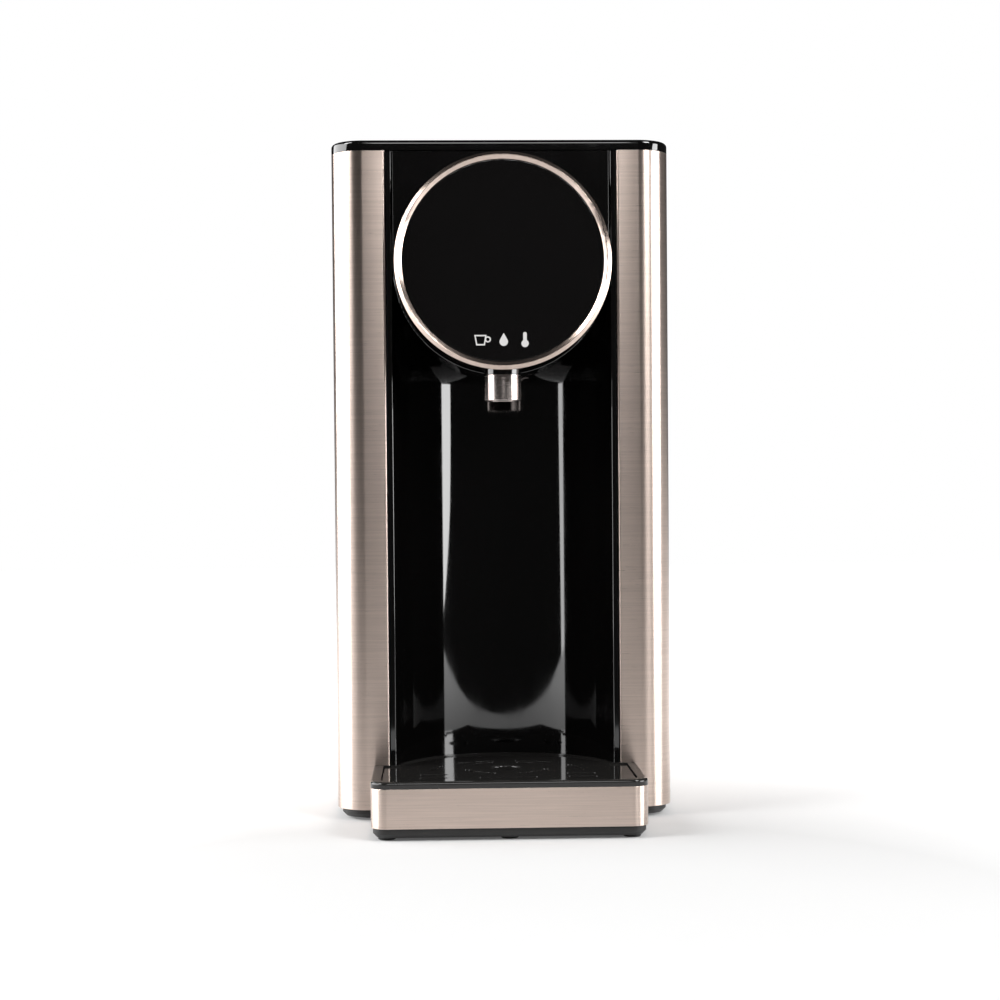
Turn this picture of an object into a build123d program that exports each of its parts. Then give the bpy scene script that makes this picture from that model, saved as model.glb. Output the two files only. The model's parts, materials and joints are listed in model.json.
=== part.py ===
from build123d import *
import os

# Countertop hot-water dispenser: a brushed-steel casing round a glossy black niche, with a round
# touch display over the nozzle, a pull-out drip tray and a lift-out tank at the back.
# Millimetres, +Z up. The origin is on the worktop under the middle of the object, and the front
# faces -Y.

os.makedirs("parts", exist_ok=True)

# ---- Driving dimensions: casing ----
body_width = 180.0
body_front = -76.0
body_rear = 141.0
body_depth = body_rear - body_front
body_mid = (body_front + body_rear) / 2
corner_radius = 17.0
base_z = 1.5            # underside of the base pan: the feet stand out below it
floor_z = 6.0           # top of the base pan and bottom edge of the steel
cover_z = 355.5         # top edge of the steel
top_z = 361.0
steel = 1.0
base_inset = 2.5
front_edge = 61.0       # half the gap between the steel's front edges
rear_edge = 66.0        # half the gap between the steel's rear edges
fold_radius = 1.8       # outside radius of the folds beside the niche
inner_half = body_width / 2 - steel - 0.4
screw_x = 58.0
web_width = 7.0

# ---- Driving dimensions: niche, head and nozzle ----
niche_radius = 58.8
niche_y = -85.5         # the niche, the nozzle and the drip hole share this vertical axis
niche_skin = 2.5
strip_edge = 60.8       # outer edge of the black strip beside the niche
dial_z = 294.0
head_front = -75.6
head_half = 57.4
head_skin = 2.5
drum_radius = 55.0
drum_bore = 52.4
drum_front = -101.5
ring_front = -104.0
ring_radius = 56.2
ring_bore = 52.3
ring_crest = 54.3
ring_bevel = 1.4
glass_radius = 52.1
glass_front = -102.9
nozzle_tip = 222.4
nozzle_radius = 9.5
seat_z = 236.0

# ---- Driving dimensions: inside ----
partition_y = 46.0      # the wall between the works and the tank bay
partition_skin = 3.0
shelf_z = 55.0          # the tank stands over this shelf
shelf_skin = 3.0
cover_rear_y = 137.4
cover_skin = 2.2
gland_x = -40.0
gland_z = 20.0
heater_x = -40.0
heater_y = 14.0
heater_radius = 15.0
pump_y = 20.0
pump_z = 26.0
hose_bore = 4.0
hose_wall = 1.2
board_y = 36.0
board_skin = 1.6

# ---- Driving dimensions: tank ----
tank_half = 85.5
tank_front = 51.0
tank_rear = 139.2
tank_pad_rear = 140.6   # the middle of the tank stands out between the steel's rear edges
tank_pad_half = 65.3
tank_bottom = 60.0
tank_top = 355.3
tank_corner = 15.0
tank_wall = 2.2
tank_floor = 3.0
valve_y = 95.0
lid_front = 45.0
lid_bottom = 355.8
hinge_y = 138.3
hinge_z = (lid_bottom + top_z) / 2
hinge_roll = (top_z - lid_bottom) / 2
ear_x = 50.0
ear_half = 5.0
pin_radius = 1.2
float_x = -50.0
float_y = 67.0

# ---- Driving dimensions: drip tray ----
tray_half = 70.0
tray_front = -141.0
tray_back = -76.4       # the wings stop just short of the casing
tray_corner = 8.5
tongue_radius = 58.3
band_skin = 0.8
tray_base_top = 6.3
ledge_z = 26.4
tray_top = 30.0
grid_top = 29.2
rim_width = 2.0
rail_width = 3.2        # extra width of the rim along both sides
ledge_width = 2.0
ledge_thickness = 2.0


# ---- Helpers ----
def facing_front(y):
    """Plane at depth y, drawn in x and z, whose normal points to the front."""
    return Plane.XZ.offset(-y)


def block(x0, x1, y0, y1, z0, z1, mode=Mode.ADD):
    """Box between two corners, in the part in progress."""
    with Locations(((x0 + x1) / 2, (y0 + y1) / 2, (z0 + z1) / 2)):
        Box(x1 - x0, y1 - y0, z1 - z0, mode=mode)


def post(x, y, z0, z1, radius, mode=Mode.ADD):
    """Upright cylinder, in the part in progress."""
    with Locations((x, y, (z0 + z1) / 2)):
        Cylinder(radius, z1 - z0, mode=mode)


def rod_x(x0, x1, y, z, radius, mode=Mode.ADD):
    """Cylinder along X, in the part in progress."""
    with Locations(((x0 + x1) / 2, y, z)):
        Cylinder(radius, x1 - x0, rotation=(0, 90, 0), mode=mode)


def rod_y(x, y0, y1, z, radius, mode=Mode.ADD):
    """Cylinder along Y, in the part in progress."""
    with Locations((x, (y0 + y1) / 2, z)):
        Cylinder(radius, y1 - y0, rotation=(90, 0, 0), mode=mode)


def body_plan(inset, mode=Mode.ADD):
    """The casing's plan, drawn in the sketch in progress."""
    with Locations((0, body_mid)):
        RectangleRounded(
            body_width - 2 * inset, body_depth - 2 * inset, corner_radius - inset, mode=mode
        )


def tray_plan(inset, rail=0.0):
    """The drip tray's plan: a shallow rectangle with a round tongue that fills the niche."""
    with BuildSketch() as plan:
        with Locations((0, (tray_front + tray_back) / 2)):
            Rectangle(2 * (tray_half - inset - rail), tray_back - tray_front - 2 * inset)
        front_corners = plan.vertices().group_by(Axis.Y)[0]
        fillet(front_corners, tray_corner - inset)
        with BuildSketch(mode=Mode.PRIVATE) as tongue:
            with Locations((0, niche_y)):
                Circle(tongue_radius - inset)
                Rectangle(2 * tongue_radius, 2 * tongue_radius, align=(Align.CENTER, Align.MIN),
                          mode=Mode.INTERSECT)
        add(tongue.sketch)
    return plan.sketch


def head_outline(inset):
    """The head's front: straight sides and a half-round lower end, in the sketch in progress."""
    half = head_half - inset
    with Locations((0, dial_z)):
        Circle(half)
    with Locations((0, (dial_z + cover_z - 0.5) / 2)):
        Rectangle(2 * half, cover_z - 0.5 - dial_z)


def hose(points, bend_radius, bore, wall):
    """Flexible tube along straight runs joined by round bends."""
    with BuildPart() as tube:
        with BuildLine() as route:
            FilletPolyline(*points, radius=bend_radius)
        with BuildSketch(Plane(origin=route.line @ 0, z_dir=route.line % 0)):
            Circle(bore + wall)
            Circle(bore, mode=Mode.SUBTRACT)
        sweep()
    return tube.part


# ---- Base pan: the floor of the casing, with a bay where the tray's tongue goes in ----
base_screw_points = [(side * screw_x, y) for side in (-1, 1) for y in (65.0, 122.0)]
foot_points = [(side * 72.0, y) for side in (-1, 1) for y in (-56.0, 112.0)]
with BuildPart() as base_pan:
    with BuildSketch(Plane.XY.offset(base_z)):
        body_plan(base_inset)
        with Locations((0, niche_y)):
            Circle(niche_radius, mode=Mode.SUBTRACT)
    extrude(amount=floor_z - base_z)
    under_edges = base_pan.faces().sort_by(Axis.Z)[0].outer_wire().edges()
    chamfer(under_edges.filter_by(lambda e: e.geom_type != GeomType.CIRCLE or e.radius < 50), 2.0)
    for side in (-1, 1):
        for y0, y1 in ((-48, 40), (54, 114)):
            block(side * 87.4 - 1.1, side * 87.4 + 1.1, y0, y1, floor_z, floor_z + 6)
    with BuildSketch(Plane.XY.offset(base_z)):
        with Locations((40, 5)):
            with GridLocations(9, 40, 6, 1):
                SlotOverall(34, 3, rotation=90)
    extrude(amount=floor_z - base_z, mode=Mode.SUBTRACT)
    for x, y in base_screw_points:
        with Locations(Location((x, y, base_z), (180, 0, 0))):
            CounterBoreHole(radius=1.7, counter_bore_radius=3.4, counter_bore_depth=2.2,
                            depth=floor_z - base_z)
    for x, y in foot_points:
        post(x, y, base_z, base_z + 2.6, 3.1, mode=Mode.SUBTRACT)
base_pan.part.label = "base_pan"
export_step(base_pan.part, "parts/base_pan.step")

with BuildPart() as base_feet:
    for x, y in foot_points:
        post(x, y, 0, base_z, 8.0)
    chamfer(base_feet.faces().group_by(Axis.Z)[0].edges(), 0.4)
    for x, y in foot_points:
        post(x, y, base_z, base_z + 2.5, 3.0)
base_feet.part.label = "base_feet"
export_step(base_feet.part, "parts/base_feet.step")


# ---- Steel side panels: each wraps round from the front edge to the rear edge ----
for side_name, side in (("left", -1), ("right", 1)):
    with BuildPart() as side_panel:
        with BuildSketch(Plane.XY.offset(floor_z)):
            body_plan(0)
            body_plan(steel, mode=Mode.SUBTRACT)
            with Locations((0, body_front)):
                Rectangle(2 * front_edge, 20, mode=Mode.SUBTRACT)
            with Locations((0, body_rear)):
                Rectangle(2 * rear_edge, 20, mode=Mode.SUBTRACT)
            with Locations((side * body_width / 2, body_mid)):
                Rectangle(body_width, body_depth, mode=Mode.INTERSECT)
            # The front edge is folded in beside the niche.
            with Locations((side * (front_edge + steel / 2), body_front + 2.5)):
                Rectangle(steel, 5)
        extrude(amount=cover_z - floor_z)
        upright = side_panel.edges().filter_by(Axis.Z)
        fold_outside = (side * front_edge, body_front)
        fold_inside = (side * (front_edge + steel), body_front + steel)
        for (x, y), radius in ((fold_outside, fold_radius), (fold_inside, fold_radius - steel)):
            fillet(upright.filter_by(
                lambda e: abs(e.center().X - x) < 0.1 and abs(e.center().Y - y) < 0.1), radius)
            upright = side_panel.edges().filter_by(Axis.Z)
    side_panel.part.label = f"side_panel_{side_name}"
    export_step(side_panel.part, f"parts/side_panel_{side_name}.step")


# ---- Chassis: partition, tank shelf and the webs under it ----
rear_screw_points = [(side * screw_x, z) for side in (-1, 1) for z in (24.0, 48.0)]
with BuildPart() as chassis:
    block(-inner_half, inner_half, partition_y, partition_y + partition_skin, floor_z, cover_z - 0.3)
    block(-inner_half + 1, inner_half - 1, partition_y + partition_skin, 114,
          shelf_z, shelf_z + shelf_skin)
    block(-70, 70, 114, cover_rear_y - 0.2, shelf_z, shelf_z + shelf_skin)
    for side in (-1, 1):
        block(side * screw_x - web_width / 2, side * screw_x + web_width / 2,
              partition_y + partition_skin, cover_rear_y - 0.2, floor_z, shelf_z)
        # Guides that steer the tank between the steel sides.
        block(side * 87.6 - 0.9, side * 87.6 + 0.9, partition_y + partition_skin, 58,
              shelf_z + shelf_skin, cover_z - 20)
    post(0, valve_y, shelf_z, shelf_z + shelf_skin, 13.2, mode=Mode.SUBTRACT)
    rod_y(0, partition_y, partition_y + partition_skin, 43.8, 7.0, mode=Mode.SUBTRACT)
    rod_y(gland_x, partition_y, partition_y + partition_skin, gland_z, 5.0, mode=Mode.SUBTRACT)
    for x, y in base_screw_points:
        post(x, y, floor_z, floor_z + 10, 1.6, mode=Mode.SUBTRACT)
    for x, z in rear_screw_points:
        rod_y(x, 124, cover_rear_y, z, 1.6, mode=Mode.SUBTRACT)
chassis.part.label = "chassis"
export_step(chassis.part, "parts/chassis.step")


# ---- Rear cover under the tank, with air slots and the cord's hole ----
with BuildPart() as rear_cover:
    block(-72, 72, cover_rear_y, cover_rear_y + cover_skin, floor_z + 0.2, 59.4)
    fillet(rear_cover.edges().filter_by(Axis.Y), 2.0)
    with BuildSketch(facing_front(cover_rear_y + cover_skin)):
        with Locations((26, 30)):
            with GridLocations(7, 10, 7, 1):
                SlotOverall(30, 3, rotation=90)
    extrude(amount=cover_skin, mode=Mode.SUBTRACT)
    rod_y(gland_x, cover_rear_y, cover_rear_y + cover_skin, gland_z, 7.0, mode=Mode.SUBTRACT)
    for x, z in rear_screw_points:
        rod_y(x, cover_rear_y, cover_rear_y + cover_skin, z, 1.7, mode=Mode.SUBTRACT)
rear_cover.part.label = "rear_cover"
export_step(rear_cover.part, "parts/rear_cover.step")

with BuildPart() as cord_gland:
    rod_y(gland_x, cover_rear_y + cover_skin, body_rear, gland_z, 9.5)
    rod_y(gland_x, 131, cover_rear_y + cover_skin, gland_z, 6.9)
    rod_y(gland_x, 131, body_rear, gland_z, 3.6, mode=Mode.SUBTRACT)
    chamfer(cord_gland.edges().filter_by(
        lambda e: e.geom_type == GeomType.CIRCLE and e.radius > 9 and e.center().Y > 140), 0.6)
cord_gland.part.label = "cord_gland"
export_step(cord_gland.part, "parts/cord_gland.step")

# Four screws go up through the base pan and four hold the rear cover.
with BuildPart() as case_screws:
    for x, y in base_screw_points:
        post(x, y, base_z + 0.2, base_z + 2.2, 3.1)
        post(x, y, base_z + 2.2, floor_z + 8, 1.5)
        block(x - 0.5, x + 0.5, y - 2, y + 2, base_z + 0.2, base_z + 1.0, mode=Mode.SUBTRACT)
    for x, z in rear_screw_points:
        head_y = cover_rear_y + cover_skin
        rod_y(x, head_y, head_y + 1.2, z, 3.1)
        rod_y(x, 126, head_y, z, 1.5)
        block(x - 2, x + 2, head_y + 0.5, head_y + 1.2, z - 0.5, z + 0.5, mode=Mode.SUBTRACT)
case_screws.part.label = "case_screws"
export_step(case_screws.part, "parts/case_screws.step")


# ---- Niche wall: a half-round glossy bay, with a narrow strip down each side ----
with BuildPart() as niche_wall:
    with BuildSketch(Plane.XY.offset(floor_z)):
        with Locations((0, niche_y)):
            Circle(niche_radius + niche_skin)
        for side in (-1, 1):
            with Locations((side * (strip_edge - 2), body_front + 3)):
                Rectangle(4, 6)
            with Locations((side * (inner_half + 48) / 2, -57)):
                Rectangle(inner_half - 48, niche_skin)
        with Locations((0, body_front)):
            Rectangle(body_width, 200, align=(Align.CENTER, Align.MAX), mode=Mode.SUBTRACT)
        with Locations((0, niche_y)):
            Circle(niche_radius, mode=Mode.SUBTRACT)
    extrude(amount=cover_z - 0.5 - floor_z)
    strip_lips = niche_wall.edges().filter_by(Axis.Z).filter_by(
        lambda e: e.center().Y < body_front + 0.1 and abs(e.center().X) < 59)
    fillet(strip_lips, 0.9)
    rod_y(0, -60, 0, 300, 6.5, mode=Mode.SUBTRACT)
    block(12.5, 27.5, -60, 0, 315.5, 320.5, mode=Mode.SUBTRACT)
niche_wall.part.label = "niche_wall"
export_step(niche_wall.part, "parts/niche_wall.step")


# ---- Head: the block behind the display, and the drum that stands out of it ----
with BuildPart() as head_shroud:
    with BuildSketch(facing_front(head_front)):
        head_outline(0)
    extrude(amount=-60)
    with BuildSketch(Plane.XY.offset(dial_z - head_half - 1)):
        with Locations((0, niche_y)):
            Circle(niche_radius - 0.4)
    extrude(amount=140, mode=Mode.INTERSECT)
    front_edges = head_shroud.faces().sort_by(Axis.Y)[0].outer_wire().edges()
    fillet(front_edges.filter_by(lambda e: e.center().Z < cover_z - 2), 0.6)
    with BuildSketch(facing_front(head_front + head_skin)):
        head_outline(head_skin)
    extrude(amount=-60, mode=Mode.SUBTRACT)
    rod_y(0, head_front - 1, head_front + head_skin + 1, dial_z, 45, mode=Mode.SUBTRACT)
head_shroud.part.label = "head_shroud"
export_step(head_shroud.part, "parts/head_shroud.step")

with BuildPart() as head_drum:
    rod_y(0, drum_front, head_front, dial_z, drum_radius)
    rod_y(0, drum_front, head_front, dial_z, drum_bore - 2.6, mode=Mode.SUBTRACT)
    rod_y(0, drum_front + 2, head_front, dial_z, drum_bore, mode=Mode.SUBTRACT)
    post(0, niche_y, dial_z - 60, dial_z - 40, 8.7, mode=Mode.SUBTRACT)
head_drum.part.label = "head_drum"
export_step(head_drum.part, "parts/head_drum.step")

with BuildPart() as dial_ring:
    with BuildSketch(Plane.YZ):
        with BuildLine():
            Polyline(
                (ring_front + ring_bevel, dial_z + ring_bore),
                (ring_front, dial_z + ring_crest - 0.15),
                (ring_front, dial_z + ring_crest + 0.15),
                (ring_front + ring_bevel, dial_z + ring_radius),
                (ring_front + 4.5, dial_z + ring_radius),
                (ring_front + 4.5, dial_z + drum_radius + 0.05),
                (drum_front, dial_z + drum_radius + 0.05),
                (drum_front, dial_z + ring_bore),
                close=True,
            )
        make_face()
    revolve(axis=Axis((0, 0, dial_z), (0, 1, 0)))
dial_ring.part.label = "dial_ring"
export_step(dial_ring.part, "parts/dial_ring.step")

with BuildPart() as display_glass:
    rod_y(0, glass_front, drum_front, dial_z, glass_radius)
    chamfer(display_glass.edges().filter_by(GeomType.CIRCLE).group_by(Axis.Y)[0], 0.3)
display_glass.part.label = "display_glass"
export_step(display_glass.part, "parts/display_glass.step")

# Printed marks low on the glass: a cup, a drop and a thermometer.
with BuildPart() as icon_print:
    with BuildSketch(facing_front(glass_front)):
        with Locations((-12, 253)):
            Trapezoid(6.4, 5.4, 80, rotation=180)
            Trapezoid(4.8, 4.0, 80, rotation=180, mode=Mode.SUBTRACT)
        with Locations((-8.2, 253.4)):
            Circle(1.6)
            Circle(0.9, mode=Mode.SUBTRACT)
        with Locations((0, 252.2)):
            Circle(2.2)
        with BuildLine():
            Polyline((-1.95, 253.2), (0, 256.7), (1.95, 253.2), close=True)
        make_face()
        with Locations((11, 254.0)):
            SlotOverall(6.2, 1.9, rotation=90)
        with Locations((11, 251.2)):
            Circle(1.9)
    extrude(amount=0.12)
icon_print.part.label = "icon_print"
export_step(icon_print.part, "parts/icon_print.step")

with BuildPart() as display_board:
    rod_y(0, drum_front + 2.6, drum_front + 4.2, dial_z, 47)
    block(-6, 6, drum_front + 4.2, drum_front + 8, dial_z + 2, dial_z + 14)
    block(10, 30, drum_front + 4.2, drum_front + 7, dial_z - 20, dial_z - 12)
display_board.part.label = "display_board"
export_step(display_board.part, "parts/display_board.step")

# A numeric module and a ring of touch-key lamps between the board and the glass.
with BuildPart() as display_leds:
    block(-14, 14, drum_front + 0.5, drum_front + 2.6, dial_z + 4, dial_z + 20)
    with BuildSketch(facing_front(drum_front + 2.6)):
        with Locations((0, dial_z)):
            with PolarLocations(34, 8):
                Rectangle(3, 3)
    extrude(amount=1.2)
display_leds.part.label = "display_leds"
export_step(display_leds.part, "parts/display_leds.step")


# ---- Nozzle ----
with BuildPart() as nozzle_seat:
    post(0, niche_y, seat_z, seat_z + 8, 9.8)
    rod_y(0, drum_front, head_front, dial_z, drum_radius, mode=Mode.SUBTRACT)
    post(0, niche_y, seat_z, 247, 8.6)
    post(0, niche_y, nozzle_tip + 2.6, seat_z, 7.4)
    post(0, niche_y, nozzle_tip, 247, 5.4, mode=Mode.SUBTRACT)
nozzle_seat.part.label = "nozzle_seat"
export_step(nozzle_seat.part, "parts/nozzle_seat.step")

with BuildPart() as nozzle_sleeve:
    post(0, niche_y, nozzle_tip, seat_z, nozzle_radius)
    post(0, niche_y, nozzle_tip, seat_z, 7.5, mode=Mode.SUBTRACT)
    fillet(nozzle_sleeve.edges().filter_by(GeomType.CIRCLE).group_by(Axis.Z)[0], 0.5)
nozzle_sleeve.part.label = "nozzle_sleeve"
export_step(nozzle_sleeve.part, "parts/nozzle_sleeve.step")

with BuildPart() as nozzle_outlet:
    post(0, niche_y, nozzle_tip + 0.6, nozzle_tip + 2.5, 7.3)
    post(0, niche_y, nozzle_tip + 2.5, 248.5, 5.3)
    post(0, niche_y, 248.5, 262, hose_bore)
    post(0, niche_y, nozzle_tip, 262, 2.6, mode=Mode.SUBTRACT)
nozzle_outlet.part.label = "nozzle_outlet"
export_step(nozzle_outlet.part, "parts/nozzle_outlet.step")

with BuildPart() as nozzle_seal:
    post(0, niche_y, 247, 248.5, 7.6)
    post(0, niche_y, 247, 248.5, 5.35, mode=Mode.SUBTRACT)
nozzle_seal.part.label = "nozzle_seal"
export_step(nozzle_seal.part, "parts/nozzle_seal.step")


# ---- Top cover over the works: the tank's own lid closes the rest ----
with BuildPart() as top_cover:
    with BuildSketch(Plane.XY.offset(cover_z)):
        body_plan(0)
        with Locations((0, lid_front - 1)):
            Rectangle(2 * body_width, body_depth, align=(Align.CENTER, Align.MIN),
                      mode=Mode.SUBTRACT)
    extrude(amount=top_z - cover_z)
    crown = top_cover.faces().sort_by(Axis.Z)[-1].outer_wire().edges()
    fillet(crown.filter_by(lambda e: e.center().Y < lid_front - 1.1), 2.0)
    with BuildSketch(Plane.XY.offset(cover_z)):
        body_plan(3)
        with Locations((0, lid_front - 4)):
            Rectangle(2 * body_width, body_depth, align=(Align.CENTER, Align.MIN),
                      mode=Mode.SUBTRACT)
    extrude(amount=3.0, mode=Mode.SUBTRACT)
    # A scoop in the rear edge lets a fingertip under the tank's lid.
    post(0, lid_front - 1, top_z - 2.0, top_z, 13, mode=Mode.SUBTRACT)
top_cover.part.label = "top_cover"
export_step(top_cover.part, "parts/top_cover.step")


# ---- Tank dock ----
with BuildPart() as dock_socket:
    post(0, valve_y, 38, shelf_z + shelf_skin, 13)
    post(0, valve_y, shelf_z + shelf_skin, shelf_z + shelf_skin + 1.2, 17)
    rod_y(0, 70, valve_y, 43.8, hose_bore)
    post(0, valve_y, 41, shelf_z + shelf_skin + 1.2, 9.6, mode=Mode.SUBTRACT)
    rod_y(0, 70, valve_y, 43.8, 2.4, mode=Mode.SUBTRACT)
    post(0, valve_y, 53.9, 56.1, 11.1, mode=Mode.SUBTRACT)
    post(0, valve_y, 38, 52.5, 3.2)
dock_socket.part.label = "dock_socket"
export_step(dock_socket.part, "parts/dock_socket.step")

with BuildPart() as dock_seal:
    with Locations((0, valve_y, 55)):
        Torus(10.15, 0.85)
dock_seal.part.label = "dock_seal"
export_step(dock_seal.part, "parts/dock_seal.step")

with BuildPart() as reed_sensor:
    block(float_x - 8, float_x + 8, partition_y - 1.6, partition_y, 62, 92)
    block(float_x - 2, float_x + 2, partition_y - 4.4, partition_y - 1.6, 68, 84)
reed_sensor.part.label = "reed_sensor"
export_step(reed_sensor.part, "parts/reed_sensor.step")


# ---- Pump ----
grommet_points = [(heater_x + dx, pump_y + dy) for dx in (-9, 9) for dy in (-13, 13)]
with BuildPart() as pump_housing:
    rod_x(-50, -30, pump_y, pump_z, 18)
    block(-54, -26, pump_y - 18, pump_y + 18, 10, 13)
    rod_x(-30, -18, pump_y, pump_z, hose_bore)
    post(heater_x, pump_y, pump_z, 56, hose_bore)
    rod_x(-46, -34, pump_y, pump_z, 14.5, mode=Mode.SUBTRACT)
    rod_x(-36, -18, pump_y, pump_z, 2.4, mode=Mode.SUBTRACT)
    post(heater_x, pump_y, pump_z, 56, 2.4, mode=Mode.SUBTRACT)
    rod_x(-50, -46, pump_y, pump_z, 1.55, mode=Mode.SUBTRACT)
pump_housing.part.label = "pump_housing"
export_step(pump_housing.part, "parts/pump_housing.step")

with BuildPart() as pump_motor:
    rod_x(-80, -50, pump_y, pump_z, 13)
    fillet(pump_motor.edges().filter_by(GeomType.CIRCLE), 1.5)
    rod_x(-83, -80, pump_y, pump_z, 7)
    rod_x(-72, -50, pump_y, pump_z, 1.55, mode=Mode.SUBTRACT)
pump_motor.part.label = "pump_motor"
export_step(pump_motor.part, "parts/pump_motor.step")

vane_count = 6
with BuildPart() as pump_rotor:
    rod_x(-70, -36, pump_y, pump_z, 1.5)
    rod_x(-44.5, -42.5, pump_y, pump_z, 12)
    with BuildSketch(Plane.YZ.offset(-42.5)):
        with Locations((pump_y, pump_z)):
            Circle(3.2)
            with PolarLocations(6.8, vane_count):
                Rectangle(9.6, 1.4)
    extrude(amount=6.5)
pump_rotor.part.label = "pump_rotor"
export_step(pump_rotor.part, "parts/pump_rotor.step")

with BuildPart() as pump_grommets:
    for x, y in grommet_points:
        post(x, y, floor_z, 10, 4)
pump_grommets.part.label = "pump_grommets"
export_step(pump_grommets.part, "parts/pump_grommets.step")


# ---- Flow heater ----
with BuildPart() as heater_tube:
    post(heater_x, heater_y, 120, 240, heater_radius)
    post(heater_x, heater_y, 120, 240, heater_radius - 1.5, mode=Mode.SUBTRACT)
heater_tube.part.label = "heater_tube"
export_step(heater_tube.part, "parts/heater_tube.step")

with BuildPart() as heater_caps:
    post(heater_x, heater_y, 110, 126, 18)
    post(heater_x, heater_y, 98, 110, hose_bore)
    post(heater_x, heater_y, 120, 126, heater_radius, mode=Mode.SUBTRACT)
    post(heater_x, heater_y, 98, 120, 2.4, mode=Mode.SUBTRACT)
    post(heater_x, heater_y, 234, 250, 18)
    post(heater_x, heater_y, 250, 262, hose_bore)
    post(heater_x, heater_y, 234, 240, heater_radius, mode=Mode.SUBTRACT)
    post(heater_x, heater_y, 240, 262, 2.4, mode=Mode.SUBTRACT)
    rod_x(heater_x, heater_x + 18, heater_y, 245, 2.05, mode=Mode.SUBTRACT)
heater_caps.part.label = "heater_caps"
export_step(heater_caps.part, "parts/heater_caps.step")

with BuildPart() as heater_bracket:
    block(heater_x - 14, heater_x + 14, partition_y - 2, partition_y, 140, 222)
    for z in (150, 212):
        post(heater_x, heater_y, z - 5, z + 5, heater_radius + 2)
        block(heater_x - 5, heater_x + 5, heater_y + heater_radius, partition_y - 2, z - 5, z + 5)
    post(heater_x, heater_y, 140, 222, heater_radius, mode=Mode.SUBTRACT)
heater_bracket.part.label = "heater_bracket"
export_step(heater_bracket.part, "parts/heater_bracket.step")

# Two bimetal cut-outs clipped to the side of the tube.
with BuildPart() as thermal_cutouts:
    for z in (172, 192):
        block(heater_x - 19, heater_x - 12, heater_y - 6, heater_y + 6, z - 6, z + 6)
        rod_x(heater_x - 24, heater_x - 19, heater_y, z, 7)
    post(heater_x, heater_y, 160, 204, heater_radius, mode=Mode.SUBTRACT)
thermal_cutouts.part.label = "thermal_cutouts"
export_step(thermal_cutouts.part, "parts/thermal_cutouts.step")

with BuildPart() as heater_terminals:
    for z in (114, 246):
        block(heater_x - 3.2, heater_x + 3.2, heater_y - 27, heater_y - 18, z - 0.4, z + 0.4)
        rod_y(heater_x, heater_y - 19.5, heater_y - 17.5, z, 2)
        post(heater_x, heater_y, z - 4, z + 4, 18, mode=Mode.SUBTRACT)
heater_terminals.part.label = "heater_terminals"
export_step(heater_terminals.part, "parts/heater_terminals.step")

with BuildPart() as temperature_probe:
    rod_x(heater_x + 4, heater_x + 18, heater_y, 245, 2)
    with BuildSketch(Plane.YZ.offset(heater_x + 18)):
        with Locations((heater_y, 245)):
            RegularPolygon(4.5, 6)
    extrude(amount=4)
temperature_probe.part.label = "temperature_probe"
export_step(temperature_probe.part, "parts/temperature_probe.step")


# ---- Hoses ----
inlet_hose = hose([(0, 80, 43.8), (0, pump_y, 43.8), (0, pump_y, pump_z), (-28, pump_y, pump_z)],
                  8.0, hose_bore, hose_wall)
inlet_hose.label = "inlet_hose"
export_step(inlet_hose, "parts/inlet_hose.step")

feed_hose = hose([(heater_x, pump_y, 46), (heater_x, pump_y, 70), (heater_x, heater_y, 86),
                  (heater_x, heater_y, 108)], 18.0, hose_bore, hose_wall)
feed_hose.label = "feed_hose"
export_step(feed_hose, "parts/feed_hose.step")

hot_hose = hose([(heater_x, heater_y, 252), (heater_x, heater_y, 300), (0, heater_y, 300),
                 (0, niche_y, 300), (0, niche_y, 251)], 14.0, hose_bore, hose_wall)
hot_hose.label = "hot_hose"
export_step(hot_hose, "parts/hot_hose.step")


# ---- Electronics on the partition ----
standoff_points = [(x, z) for x in (13, 77) for z in (95, 220)]
with BuildPart() as power_board:
    block(8, 82, board_y, board_y + board_skin, 90, 225)
    fillet(power_board.edges().filter_by(Axis.Y), 3.0)
power_board.part.label = "power_board"
export_step(power_board.part, "parts/power_board.step")

with BuildPart() as board_standoffs:
    for x, z in standoff_points:
        rod_y(x, board_y + board_skin, partition_y, z, 3)
board_standoffs.part.label = "board_standoffs"
export_step(board_standoffs.part, "parts/board_standoffs.step")

with BuildPart() as relay:
    block(14, 32, board_y - 16, board_y, 100, 126)
    chamfer(relay.faces().sort_by(Axis.Y)[0].edges(), 0.8)
relay.part.label = "relay"
export_step(relay.part, "parts/relay.step")

with BuildPart() as transformer:
    block(42, 74, board_y - 24, board_y, 100, 110)
    block(42, 74, board_y - 24, board_y, 126, 136)
    block(47, 69, board_y - 22, board_y - 2, 110, 126)
transformer.part.label = "transformer"
export_step(transformer.part, "parts/transformer.step")

fin_count = 6
with BuildPart() as triac_heatsink:
    block(44, 76, board_y - 4, board_y, 146, 188)
    for fin in range(fin_count):
        fin_x = 45 + fin * 6
        block(fin_x - 0.8, fin_x + 0.8, board_y - 22, board_y - 4, 146, 188)
triac_heatsink.part.label = "triac_heatsink"
export_step(triac_heatsink.part, "parts/triac_heatsink.step")

with BuildPart() as capacitors:
    for z, radius, height in ((148, 8, 22), (168, 8, 22), (186, 5, 14)):
        rod_y(24, board_y - height, board_y, z, radius)
    fillet(capacitors.faces().filter_by(Axis.Y).edges().group_by(Axis.Y)[0], 1.0)
capacitors.part.label = "capacitors"
export_step(capacitors.part, "parts/capacitors.step")

with BuildPart() as terminal_block:
    block(46, 76, board_y - 14, board_y, 200, 214)
    for x in (51, 61, 71):
        rod_y(x, board_y - 14, board_y - 6, 207, 2.6, mode=Mode.SUBTRACT)
    block(12, 28, board_y - 8, board_y, 210, 220)
terminal_block.part.label = "terminal_block"
export_step(terminal_block.part, "parts/terminal_block.step")

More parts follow.
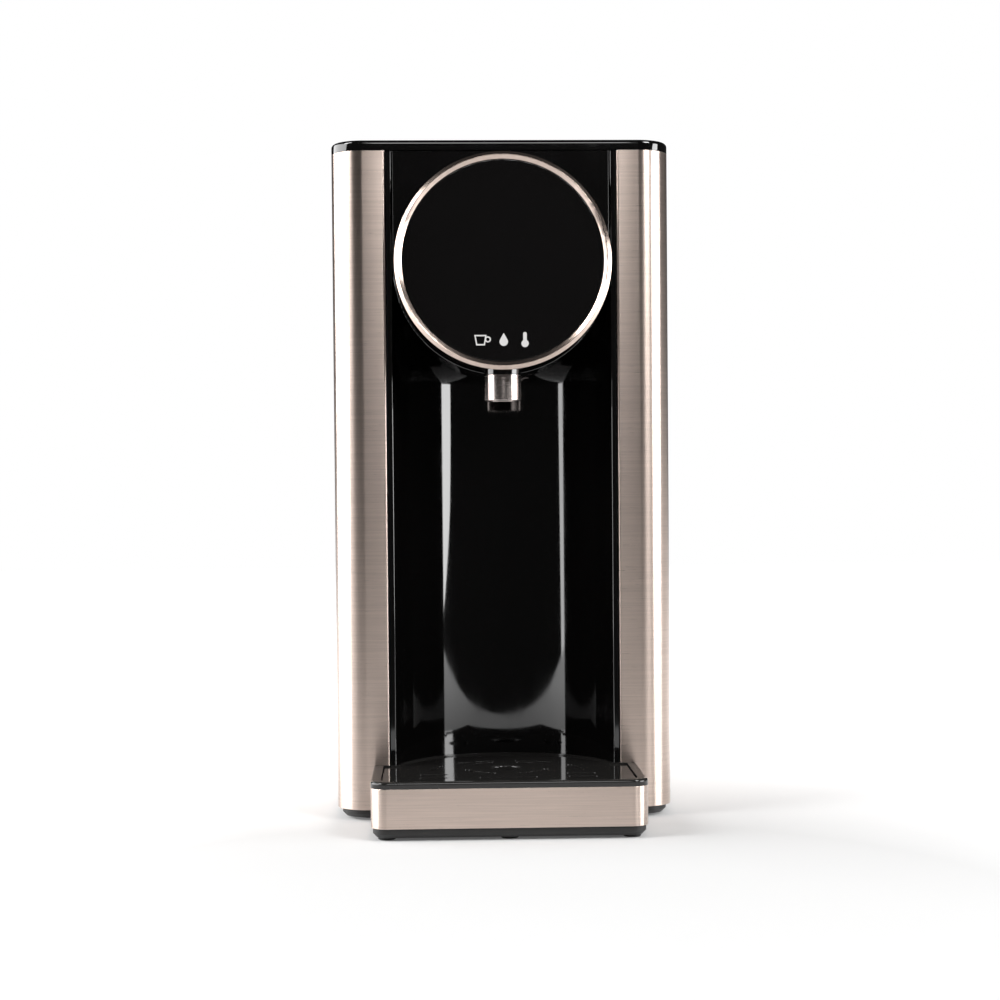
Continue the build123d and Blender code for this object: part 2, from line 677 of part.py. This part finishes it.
# Flat cable from the power board over the niche to the display.
with BuildPart() as display_cable:
    with BuildLine() as cable_route:
        FilletPolyline((20, 32, 220), (20, 32, 318), (20, drum_front + 4.2, 318), radius=12)
    with BuildSketch(Plane(origin=cable_route.line @ 0, x_dir=(1, 0, 0), z_dir=(0, 0, 1))):
        Rectangle(12, 1.2)
    sweep()
display_cable.part.label = "display_cable"
export_step(display_cable.part, "parts/display_cable.step")


# ---- Tank ----
grip_half = 38.0
grip_low = 317.0
grip_high = 343.0
grip_depth = 16.0
level_marks = [120 + 40 * step for step in range(5)]
with BuildPart() as tank_body:
    with BuildSketch(Plane.XY.offset(tank_bottom)):
        with Locations((0, (tank_front + tank_rear) / 2)):
            RectangleRounded(2 * tank_half, tank_rear - tank_front, tank_corner)
        with Locations((0, tank_pad_rear)):
            Rectangle(2 * tank_pad_half, 30, align=(Align.CENTER, Align.MAX))
    extrude(amount=tank_top - tank_bottom)
    fillet(tank_body.edges().filter_by(Axis.Z).filter_by(
        lambda e: e.center().Y > tank_pad_rear - 0.1), 1.2)
    with BuildSketch(Plane.XY.offset(tank_bottom + tank_floor)):
        with Locations((0, (tank_front + tank_rear) / 2)):
            RectangleRounded(2 * (tank_half - tank_wall), tank_rear - tank_front - 2 * tank_wall,
                             tank_corner - tank_wall)
    extrude(amount=tank_top - tank_bottom, mode=Mode.SUBTRACT)
    # Finger grip: a pocket pressed into the rear wall.
    block(-grip_half - tank_wall, grip_half + tank_wall, tank_pad_rear - grip_depth - tank_wall,
          tank_rear - 1, grip_low - tank_wall, grip_high + tank_wall)
    block(-grip_half, grip_half, tank_pad_rear - grip_depth, tank_pad_rear + 1,
          grip_low, grip_high, mode=Mode.SUBTRACT)
    for z in level_marks:
        block(34, 46, tank_pad_rear, tank_pad_rear + 0.25, z - 0.5, z + 0.5)
    for side in (-1, 1):
        block(side * ear_x - ear_half, side * ear_x + ear_half, hinge_y - 2.4, hinge_y + 2.4,
              tank_top - 6, hinge_z)
        rod_x(side * ear_x - ear_half, side * ear_x + ear_half, hinge_y, hinge_z, 2.4)
        rod_x(side * ear_x - ear_half, side * ear_x + ear_half, hinge_y, hinge_z, pin_radius,
              mode=Mode.SUBTRACT)
    post(0, valve_y, tank_bottom, tank_bottom + tank_floor, 9.05, mode=Mode.SUBTRACT)
tank_body.part.label = "tank_body"
export_step(tank_body.part, "parts/tank_body.step")

with BuildPart() as tank_lid_pins:
    for side in (-1, 1):
        rod_x(side * ear_x - 11, side * ear_x + 11, hinge_y, hinge_z, pin_radius)
tank_lid_pins.part.label = "tank_lid_pins"
export_step(tank_lid_pins.part, "parts/tank_lid_pins.step")

# The lid's rear edge is a full roll round the hinge line, and its skirt drops into the tank.
skirt_half = 82.3
skirt_front = 54.5
skirt_rear = 134.0
skirt_corner = 12.0
skirt_wall = 1.6
skirt_drop = 4.3


def skirt_plan(inset):
    """Plan of the lid's skirt, drawn in the sketch in progress."""
    with Locations((0, (skirt_front + skirt_rear) / 2)):
        RectangleRounded(2 * (skirt_half - inset), skirt_rear - skirt_front - 2 * inset,
                         skirt_corner - inset)


with BuildPart() as tank_lid:
    block(-body_width / 2, body_width / 2, lid_front, hinge_y, lid_bottom, top_z)
    rod_x(-body_width / 2, body_width / 2, hinge_y, hinge_z, hinge_roll)
    with BuildSketch(Plane.XY.offset(lid_bottom - 1)):
        body_plan(0)
    extrude(amount=10, mode=Mode.INTERSECT)
    side_edges = tank_lid.edges().filter_by(Axis.Y).group_by(Axis.Z)[-1]
    fillet(side_edges.filter_by(lambda e: abs(e.center().X) > 80), 2.0)
    with BuildSketch(Plane.XY.offset(lid_bottom - skirt_drop)):
        skirt_plan(0)
    extrude(amount=skirt_drop)
    with BuildSketch(Plane.XY.offset(lid_bottom - skirt_drop)):
        skirt_plan(skirt_wall)
    extrude(amount=skirt_drop + 2.6, mode=Mode.SUBTRACT)
    for side in (-1, 1):
        block(side * ear_x - ear_half - 0.6, side * ear_x + ear_half + 0.6, hinge_y - 4.2, body_rear,
              lid_bottom - 1, top_z, mode=Mode.SUBTRACT)
        rod_x(side * ear_x - 11.3, side * ear_x + 11.3, hinge_y, hinge_z, pin_radius + 0.05,
              mode=Mode.SUBTRACT)
tank_lid.part.label = "tank_lid"
export_step(tank_lid.part, "parts/tank_lid.step")


# ---- Tank valve: standing on its dock the pin holds the poppet 3 mm off its seat ----
with BuildPart() as valve_body:
    post(0, valve_y, 46, 66, 9)
    post(0, valve_y, 63, 65, 14)
    post(0, valve_y, 49.5, 66, 6.8, mode=Mode.SUBTRACT)
    post(0, valve_y, 46, 49.5, 4.2, mode=Mode.SUBTRACT)
    with BuildSketch(Plane.XY.offset(64)):
        with Locations((0, valve_y)):
            Circle(3.4)
            with PolarLocations(4.6, 3):
                Rectangle(5.0, 1.6)
    extrude(amount=2)
    post(0, valve_y, 64, 66, 2.05, mode=Mode.SUBTRACT)
valve_body.part.label = "valve_body"
export_step(valve_body.part, "parts/valve_body.step")

with BuildPart() as valve_poppet:
    post(0, valve_y, 52.6, 53.4, 2.5)
    post(0, valve_y, 53.4, 55.4, 6.2)
    post(0, valve_y, 55.4, 72, 2.0)
valve_poppet.part.label = "valve_poppet"
export_step(valve_poppet.part, "parts/valve_poppet.step")

with BuildPart() as valve_seal:
    post(0, valve_y, 52.6, 53.4, 6.0)
    post(0, valve_y, 52.6, 53.4, 2.5, mode=Mode.SUBTRACT)
valve_seal.part.label = "valve_seal"
export_step(valve_seal.part, "parts/valve_seal.step")

spring_low = 56.0
spring_high = 63.4
with BuildPart() as valve_spring:
    with BuildLine() as coil:
        Helix(pitch=1.85, height=spring_high - spring_low, radius=4.4, center=(0, valve_y, spring_low))
    with BuildSketch(Plane(origin=coil.line @ 0, z_dir=coil.line % 0)):
        Circle(0.45)
    sweep()
valve_spring.part.label = "valve_spring"
export_step(valve_spring.part, "parts/valve_spring.step")

with BuildPart() as inlet_strainer:
    post(0, valve_y, 65, 80, 13.5)
    post(0, valve_y, 65, 78.8, 12.3, mode=Mode.SUBTRACT)
    with Locations((0, valve_y, 72)):
        with PolarLocations(12.9, 10):
            Box(4, 2.6, 9, mode=Mode.SUBTRACT)
inlet_strainer.part.label = "inlet_strainer"
export_step(inlet_strainer.part, "parts/inlet_strainer.step")


# ---- Low-water float in its cage ----
with BuildPart() as float_cage:
    post(float_x, float_y, 63, 98, 12)
    post(float_x, float_y, 65, 96, 10, mode=Mode.SUBTRACT)
    post(float_x, float_y, 63, 98, 6, mode=Mode.SUBTRACT)
    with Locations((float_x, float_y, 80.5)):
        with PolarLocations(11, 4, start_angle=45):
            Box(8, 9, 25, mode=Mode.SUBTRACT)
float_cage.part.label = "float_cage"
export_step(float_cage.part, "parts/float_cage.step")

with BuildPart() as tank_float:
    post(float_x, float_y, 65.1, 79.1, 9.3)
    fillet(tank_float.edges().filter_by(GeomType.CIRCLE), 1.0)
tank_float.part.label = "tank_float"
export_step(tank_float.part, "parts/tank_float.step")


# ---- Drip tray ----
tray_foot_points = [(-62, -131), (0, -131), (62, -131), (-34, -56), (34, -56)]
with BuildPart() as tray_base:
    with BuildSketch(Plane.XY.offset(base_z)):
        add(tray_plan(1.0))
    extrude(amount=tray_base_top - base_z)
    chamfer(tray_base.faces().sort_by(Axis.Z)[0].outer_wire().edges().filter_by(
        lambda e: e.center().Y < tray_back - 2), 2.0)
    for x, y in tray_foot_points:
        post(x, y, base_z, base_z + 2.6, 2.6, mode=Mode.SUBTRACT)
tray_base.part.label = "tray_base"
export_step(tray_base.part, "parts/tray_base.step")

with BuildPart() as tray_basin:
    with BuildSketch(Plane.XY.offset(tray_base_top)):
        add(tray_plan(band_skin))
    extrude(amount=ledge_z - tray_base_top)
    with BuildSketch(Plane.XY.offset(ledge_z)):
        add(tray_plan(0))
    extrude(amount=tray_top - ledge_z)
    rim_edges = tray_basin.faces().sort_by(Axis.Z)[-1].outer_wire().edges()
    fillet(rim_edges.filter_by(lambda e: e.center().Y < tray_back - 2), 1.6)
    with BuildSketch(Plane.XY.offset(ledge_z)):
        add(tray_plan(rim_width, rail_width))
    extrude(amount=tray_top - ledge_z, mode=Mode.SUBTRACT)
    with BuildSketch(Plane.XY.offset(ledge_z - ledge_thickness)):
        add(tray_plan(rim_width + ledge_width, rail_width))
    extrude(amount=2 * ledge_thickness, mode=Mode.SUBTRACT)
    with BuildSketch(Plane.XY.offset(tray_base_top + 2)):
        add(tray_plan(rim_width + ledge_width))
    extrude(amount=ledge_z - ledge_thickness - tray_base_top - 2, mode=Mode.SUBTRACT)
tray_basin.part.label = "tray_basin"
export_step(tray_basin.part, "parts/tray_basin.step")

with BuildPart() as tray_band:
    with BuildSketch(Plane.XY.offset(tray_base_top)):
        with Locations((0, tray_back)):
            Rectangle(2 * tray_half, tray_back - tray_front, align=(Align.CENTER, Align.MAX))
        add(tray_plan(0), mode=Mode.INTERSECT)
        add(tray_plan(band_skin), mode=Mode.SUBTRACT)
        with Locations((0, tray_back)):
            Rectangle(2 * (tray_half - band_skin), 30, mode=Mode.SUBTRACT)
    extrude(amount=ledge_z - tray_base_top)
tray_band.part.label = "tray_band"
export_step(tray_band.part, "parts/tray_band.step")

with BuildPart() as tray_feet:
    for x, y in tray_foot_points:
        post(x, y, 0, base_z, 4.5)
    chamfer(tray_feet.faces().group_by(Axis.Z)[0].edges(), 0.3)
    for x, y in tray_foot_points:
        post(x, y, base_z, base_z + 2.5, 2.5)
tray_feet.part.label = "tray_feet"
export_step(tray_feet.part, "parts/tray_feet.step")

# Drip plate: one round hole under the nozzle, curved slots behind it and short ones in front.
slot_width = 3.0
arc_y = -98.0
arc_radius = 39.5
arc_spans = [(8, 30), (52, 80), (100, 128), (150, 172)]
inner_arc_radius = 22.0
inner_arc_spans = [(20, 70), (110, 160), (200, 250), (290, 340)]
with BuildPart() as drip_grid:
    with BuildSketch(Plane.XY.offset(ledge_z + 0.1)):
        add(tray_plan(rim_width + 0.3, rail_width))
    extrude(amount=grid_top - ledge_z - 0.1)
    crown = drip_grid.faces().sort_by(Axis.Z)[-1].outer_wire().edges()
    chamfer(crown, 0.4)
    with BuildSketch(Plane.XY.offset(ledge_z)):
        with Locations((0, niche_y)):
            Circle(8)
            for start, end in inner_arc_spans:
                SlotArc(Edge.make_circle(inner_arc_radius, Plane.XY, start, end), slot_width)
        with Locations((0, arc_y)):
            for start, end in arc_spans:
                SlotArc(Edge.make_circle(arc_radius, Plane.XY, start, end), slot_width)
        for x in (-38, 38):
            with Locations((x, -110), (x, -122)):
                SlotOverall(15, slot_width)
        with Locations((0, -122)):
            SlotOverall(30, slot_width)
    extrude(amount=4, mode=Mode.SUBTRACT)
    hole_rim = drip_grid.edges().filter_by(
        lambda e: e.geom_type == GeomType.CIRCLE and abs(e.radius - 8) < 0.01
        and e.center().Z > grid_top - 0.1)
    fillet(hole_rim, 0.8)
drip_grid.part.label = "drip_grid"
export_step(drip_grid.part, "parts/drip_grid.step")
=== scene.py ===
import bpy
import json
import math
from mathutils import Matrix, Vector

# Countertop hot-water dispenser: materials, edges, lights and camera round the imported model.
# Metres, +Z up; the front faces -Y.

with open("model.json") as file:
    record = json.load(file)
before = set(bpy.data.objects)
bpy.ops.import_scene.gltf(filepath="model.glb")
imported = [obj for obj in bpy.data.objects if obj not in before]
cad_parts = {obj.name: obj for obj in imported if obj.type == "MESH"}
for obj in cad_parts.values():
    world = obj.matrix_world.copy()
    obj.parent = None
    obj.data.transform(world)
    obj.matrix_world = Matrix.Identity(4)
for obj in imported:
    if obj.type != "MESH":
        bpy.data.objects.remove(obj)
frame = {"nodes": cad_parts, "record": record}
nodes = frame["nodes"]
scene = bpy.context.scene


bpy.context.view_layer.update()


# ---- Shader helpers ----
class Shader:
    """A new material with its Principled shader, and short names for the nodes that feed it."""

    def __init__(self, name):
        self.material = bpy.data.materials.new(name)
        self.material.use_nodes = True
        self.tree = self.material.node_tree
        self.surface = self.tree.nodes["Principled BSDF"]
        self.place = self.tree.nodes.new("ShaderNodeTexCoord").outputs["Object"]

    def set(self, **values):
        """Constant values, straight on the shader's sockets."""
        for key, value in values.items():
            self.surface.inputs[key.replace("_", " ")].default_value = value
        return self

    def link(self, output, socket):
        target = self.surface.inputs[socket] if isinstance(socket, str) else socket
        self.tree.links.new(output, target)

    def node(self, kind, **values):
        new = self.tree.nodes.new(kind)
        for key, value in values.items():
            if key in new.bl_rna.properties:
                setattr(new, key, value)
            else:
                new.inputs[key.replace("_", " ")].default_value = value
        return new

    def stretched(self, scale):
        """Object coordinates scaled unevenly, in cells per metre."""
        mapping = self.node("ShaderNodeMapping", Scale=scale)
        self.tree.links.new(self.place, mapping.inputs["Vector"])
        return mapping.outputs["Vector"]

    def noise(self, scale, detail=3.0, roughness=0.55):
        """Noise from 0 to 1. scale is one number, or three for an uneven stretch."""
        if isinstance(scale, (int, float)):
            scale = (scale, scale, scale)
        texture = self.node("ShaderNodeTexNoise", Scale=1.0, Detail=detail, Roughness=roughness)
        self.tree.links.new(self.stretched(scale), texture.inputs["Vector"])
        return texture.outputs["Fac"]

    def span(self, value, low, high, start=0.3, end=0.7):
        """Maps value from start..end to low..high."""
        remap = self.node("ShaderNodeMapRange")
        for socket, number in zip(("From Min", "From Max", "To Min", "To Max"),
                                  (start, end, low, high)):
            remap.inputs[socket].default_value = number
        self.tree.links.new(value, remap.inputs["Value"])
        return remap.outputs["Result"]

    def blend(self, factor, first, second):
        """Colour between first and second."""
        mix = self.node("ShaderNodeMix", data_type="RGBA")
        mix.inputs["A"].default_value = (*first, 1)
        mix.inputs["B"].default_value = (*second, 1)
        self.tree.links.new(factor, mix.inputs["Factor"])
        return mix.outputs["Result"]

    def bump(self, *layers):
        """Stacks (height, distance in metres, strength) layers of fine relief."""
        normal = None
        for height, distance, strength in layers:
            relief = self.node("ShaderNodeBump", Distance=distance, Strength=strength)
            self.tree.links.new(height, relief.inputs["Height"])
            if normal is not None:
                self.tree.links.new(normal, relief.inputs["Normal"])
            normal = relief.outputs["Normal"]
        self.link(normal, "Normal")


BRUSHING_DEPTH = 0.000005


def brushed(name, low, high, rough, grain, anisotropy=0.92, turned=True):
    """Brushed metal. grain is the stretch of the brushing marks, in cells per metre.

    turned spreads the highlight up and down, across marks that run round the object.
    """
    s = Shader(name).set(Metallic=1.0, Anisotropic=anisotropy)
    fine = s.noise(grain, detail=5.0, roughness=0.75)
    broad = s.noise(tuple(cell / 3 for cell in grain), roughness=0.6)
    s.link(s.blend(s.span(broad, 0, 1, 0.32, 0.68), low, high), "Base Color")
    s.link(s.span(fine, rough[0], rough[1]), "Roughness")
    if turned:
        s.set(Anisotropic_Rotation=0.25)
        tangent = s.node("ShaderNodeTangent", direction_type="RADIAL", axis="Z")
        s.link(tangent.outputs["Tangent"], "Tangent")
    s.bump((fine, BRUSHING_DEPTH, 0.06))
    return s.material


def glossy(name, colour, rough=0.03, specular=0.85):
    """Polished dark plastic with the faint unevenness of a moulding and fine wiping marks."""
    s = Shader(name).set(Specular_IOR_Level=specular)
    wipe = s.noise((90, 90, 40), 4.0, 0.6)
    s.link(s.blend(s.noise(14), colour, tuple(c * 1.5 for c in colour)), "Base Color")
    s.link(s.span(wipe, rough, rough * 2.2), "Roughness")
    s.bump((s.noise(9, 2.0), 0.0002, 0.05))
    return s.material


def moulded(name, colour, rough=0.45, grain=2600, depth=0.00003, mottle=0.82):
    """Moulded plastic or rubber with a fine spark-eroded grain. mottle darkens its darker patches."""
    s = Shader(name)
    darker = tuple(c * mottle for c in colour)
    s.link(s.blend(s.noise(35, 4.0), darker, colour), "Base Color")
    s.link(s.span(s.noise(60), rough - 0.05, rough + 0.08), "Roughness")
    s.bump((s.noise(grain, 2.0), depth, 0.4))
    return s.material


def metal(name, colour, rough):
    """Plain metal with handling marks."""
    s = Shader(name).set(Metallic=1.0)
    s.link(s.blend(s.noise(120), tuple(c * 0.85 for c in colour), colour), "Base Color")
    s.link(s.span(s.noise(240, 4.0), rough - 0.05, rough + 0.10), "Roughness")
    s.bump((s.noise(1500, 3.0), 0.00001, 0.4))
    return s.material


# ---- Materials, one for each finish ----
STEEL_LOW = (0.625, 0.514, 0.452)
STEEL_HIGH = (0.720, 0.592, 0.521)
finishes = {
    "steel_brushed": brushed("brushed_steel", STEEL_LOW, STEEL_HIGH, (0.27, 0.31), (60, 60, 4200)),
    "nozzle_steel": brushed("nozzle_steel", (0.52, 0.455, 0.43), (0.60, 0.53, 0.505), (0.24, 0.28),
                            (60, 60, 6000), 0.6),
    "trim_metal": brushed("champagne_trim", (0.56, 0.455, 0.40), (0.64, 0.525, 0.46), (0.17, 0.22),
                          (900, 900, 900), 0.0, turned=False),
    "black_gloss": glossy("piano_black", (0.0012, 0.0011, 0.0011)),
    "black_tray": glossy("tray_black", (0.011, 0.0105, 0.010), 0.05, 0.45),
    "black_satin": moulded("satin_black", (0.014, 0.0135, 0.013), 0.40),
    "display_glass": glossy("display_glass", (0.0022, 0.0020, 0.0020), 0.015),
    "print_white": moulded("printed_white", (0.58, 0.57, 0.56), 0.5, 900, 0.000005, 0.95),
    "black_rubber": moulded("black_rubber", (0.018, 0.018, 0.018), 0.68, 1400, 0.00006),
    "inner_plastic": moulded("grey_abs", (0.36, 0.36, 0.35), 0.48),
    "valve_plastic": moulded("natural_acetal", (0.70, 0.70, 0.66), 0.35),
    "float_plastic": moulded("red_float", (0.55, 0.06, 0.03), 0.4),
    "silicone": moulded("silicone_hose", (0.62, 0.62, 0.57), 0.38),
    "heater_steel": metal("stainless", (0.60, 0.59, 0.57), 0.25),
    "zinc_steel": metal("zinc_plate", (0.58, 0.59, 0.58), 0.32),
    "board_green": moulded("circuit_board", (0.012, 0.12, 0.045), 0.3),
    "component_dark": moulded("component_black", (0.02, 0.02, 0.024), 0.4),
    "component_yellow": moulded("winding_tape", (0.60, 0.42, 0.04), 0.45),
    "heatsink_aluminium": metal("extruded_aluminium", (0.72, 0.73, 0.74), 0.35),
    "terminal_brass": metal("tinned_brass", (0.70, 0.58, 0.34), 0.3),
    "cable_grey": moulded("ribbon_grey", (0.30, 0.30, 0.31), 0.5),
}


def smoked():
    """Smoke-tinted clear plastic of the water tank."""
    s = Shader("smoked_tank").set(Transmission_Weight=0.85, IOR=1.49, Specular_IOR_Level=0.5)
    s.set(Base_Color=(0.42, 0.42, 0.44, 1))
    s.link(s.span(s.noise(45, 3.0), 0.05, 0.12), "Roughness")
    s.bump((s.noise(24, 2.0), 0.0001, 0.04))
    return s.material


finishes["tank_smoke"] = smoked()

slot_of = {entry["node"]: entry["material_slot"] for entry in frame["record"]["subparts"]}
for name, piece in nodes.items():
    piece.data.materials.clear()
    piece.data.materials.append(finishes[slot_of[name]])


# ---- Edges: every machined or moulded edge catches a thin line of light ----
WELD_DISTANCE = 1e-6
SHARP_ANGLE = math.radians(38)
FINE_EDGE = 0.00025
soft_edges = {"base_pan": 0.0005, "tray_base": 0.0005, "base_feet": 0.0006, "tray_feet": 0.0005,
              "dial_ring": 0.00006}
unbevelled = {"icon_print", "valve_spring", "dock_seal", "display_cable", "inlet_hose",
              "feed_hose", "hot_hose"}


def finish_edges(piece, width):
    """Joins the split vertices, rounds the sharp edges and evens the shading."""
    for polygon in piece.data.polygons:
        polygon.use_smooth = True
    weld = piece.modifiers.new("weld", "WELD")
    weld.merge_threshold = WELD_DISTANCE
    bevel = piece.modifiers.new("edge", "BEVEL")
    bevel.width = width
    bevel.segments = 2
    bevel.limit_method = "ANGLE"
    bevel.angle_limit = SHARP_ANGLE
    bevel.use_clamp_overlap = True
    shade = piece.modifiers.new("shade", "WEIGHTED_NORMAL")
    shade.keep_sharp = True


for name, piece in nodes.items():
    if name not in unbevelled:
        finish_edges(piece, soft_edges.get(name, FINE_EDGE))


# ---- Camera: in front at half height, a little to the left ----
CAMERA_PLACE = (-0.0366, -1.1203, 0.1695)
PITCH, YAW, ROLL = (math.radians(angle) for angle in (1.49, 1.90, -0.48))

camera = bpy.data.objects.new("camera", bpy.data.cameras.new("camera"))
scene.collection.objects.link(camera)
scene.camera = camera
camera.data.sensor_width = 36.0
camera.data.lens = 70.8
camera.data.shift_y = 0.053
camera.data.clip_start = 0.05
camera.data.clip_end = 50.0
camera.location = CAMERA_PLACE
look = Matrix.Rotation(-YAW, 4, "Z") @ Matrix.Rotation(math.pi / 2 - PITCH, 4, "X")
camera.rotation_euler = (look @ Matrix.Rotation(ROLL, 4, "Z")).to_euler()


# ---- Studio ----
def area_light(name, place, target, size, power, shape="RECTANGLE", glossy=True):
    """Softbox at place, facing target, hidden from the camera itself."""
    lamp = bpy.data.lights.new(name, "AREA")
    lamp.shape = shape
    lamp.size, lamp.size_y = size
    lamp.energy = power
    holder = bpy.data.objects.new(name, lamp)
    scene.collection.objects.link(holder)
    holder.location = place
    aim = Vector(target) - Vector(place)
    holder.rotation_euler = aim.to_track_quat("-Z", "Y").to_euler()
    holder.visible_camera = False
    holder.visible_glossy = glossy
    return holder


def on_circle(azimuth, distance, height):
    """Point round the object. Azimuth 0 is in front, and 90 on the viewer's right."""
    angle = math.radians(azimuth)
    return (distance * math.sin(angle), -distance * math.cos(angle), height)


# Two large boxes at the sides draw the bright bands on the steel and the strips in the niche.
# The high ones add light from above, and the tent lights the floor without being reflected.
BOX_AIM = (0, 0, 0.20)
BOX_DISTANCE = 1.3
HIGH_DISTANCE, HIGH_HEIGHT = 1.25, 1.15
TENT_AIM = (0, 0.3, 0)

area_light("left_box", on_circle(-94, BOX_DISTANCE, 0.45), BOX_AIM, (1.69, 1.1), 32)
area_light("left_high", on_circle(-62, HIGH_DISTANCE, HIGH_HEIGHT), BOX_AIM, (0.50, 0.55), 12)
area_light("right_box", on_circle(71, BOX_DISTANCE, 0.32), BOX_AIM, (0.80, 0.62), 11, "ELLIPSE")
area_light("right_high", on_circle(42, HIGH_DISTANCE, HIGH_HEIGHT), BOX_AIM, (0.46, 0.55), 15)
area_light("front_high", (0.032, -1.0, 0.72), BOX_AIM, (0.27, 0.33), 1.5)
area_light("tent_top", (0, 0.3, 1.9), TENT_AIM, (3.2, 3.0), 20, glossy=False)
for side in (-1, 1):
    area_light("tent_side", (side * 1.4, 0.3, 0.8), TENT_AIM, (1.6, 1.0), 5, glossy=False)

# The floor is measured from its own origin, in front of the drip tray. It is lit mid grey with a
# faint glow near there, and the glow grows out to GLOW_END, so that the floor runs out into white.
FLOOR_ORIGIN = (0, -0.30, 0)
FLOOR_FRONT, FLOOR_BACK, FLOOR_HALF = -0.20, 4.3, 3.0
GLOW_START, GLOW_END = 0.22, 0.62
NEAR_GLOW, FAR_GLOW = 0.09, 1.0


def floor_material():
    """Matt mid grey that glows more with distance."""
    s = Shader("pale_floor").set(Roughness=0.6, Specular_IOR_Level=0.0)
    s.set(Emission_Color=(1, 1, 1, 1))
    s.link(s.blend(s.noise(3), (0.49, 0.49, 0.49), (0.51, 0.51, 0.51)), "Base Color")
    reach = s.node("ShaderNodeVectorMath", operation="LENGTH")
    s.tree.links.new(s.place, reach.inputs[0])
    glow = s.span(reach.outputs["Value"], NEAR_GLOW, FAR_GLOW, GLOW_START, GLOW_END)
    s.link(glow, "Emission Strength")
    return s.material


floor_mesh = bpy.data.meshes.new("floor")
floor_mesh.from_pydata(
    [(-FLOOR_HALF, FLOOR_FRONT, 0), (FLOOR_HALF, FLOOR_FRONT, 0),
     (FLOOR_HALF, FLOOR_BACK, 0), (-FLOOR_HALF, FLOOR_BACK, 0)], [], [(0, 1, 2, 3)])
floor = bpy.data.objects.new("floor", floor_mesh)
floor.location = FLOOR_ORIGIN
scene.collection.objects.link(floor)
floor.data.materials.append(floor_material())


def dim_world():
    """A world that is white behind the object and nearly dark to light and reflections."""
    world = bpy.data.worlds.new("studio")
    world.use_nodes = True
    tree = world.node_tree
    paths = tree.nodes.new("ShaderNodeLightPath")
    tint = tree.nodes.new("ShaderNodeMix")
    tint.data_type = "RGBA"
    tint.inputs["A"].default_value = (0.03, 0.03, 0.03, 1)
    tint.inputs["B"].default_value = (1, 1, 1, 1)
    tree.links.new(paths.outputs["Is Camera Ray"], tint.inputs["Factor"])
    tree.links.new(tint.outputs["Result"], tree.nodes["Background"].inputs["Color"])
    return world


scene.world = dim_world()
scene.view_settings.view_transform = "Standard"
scene.view_settings.look = "None"
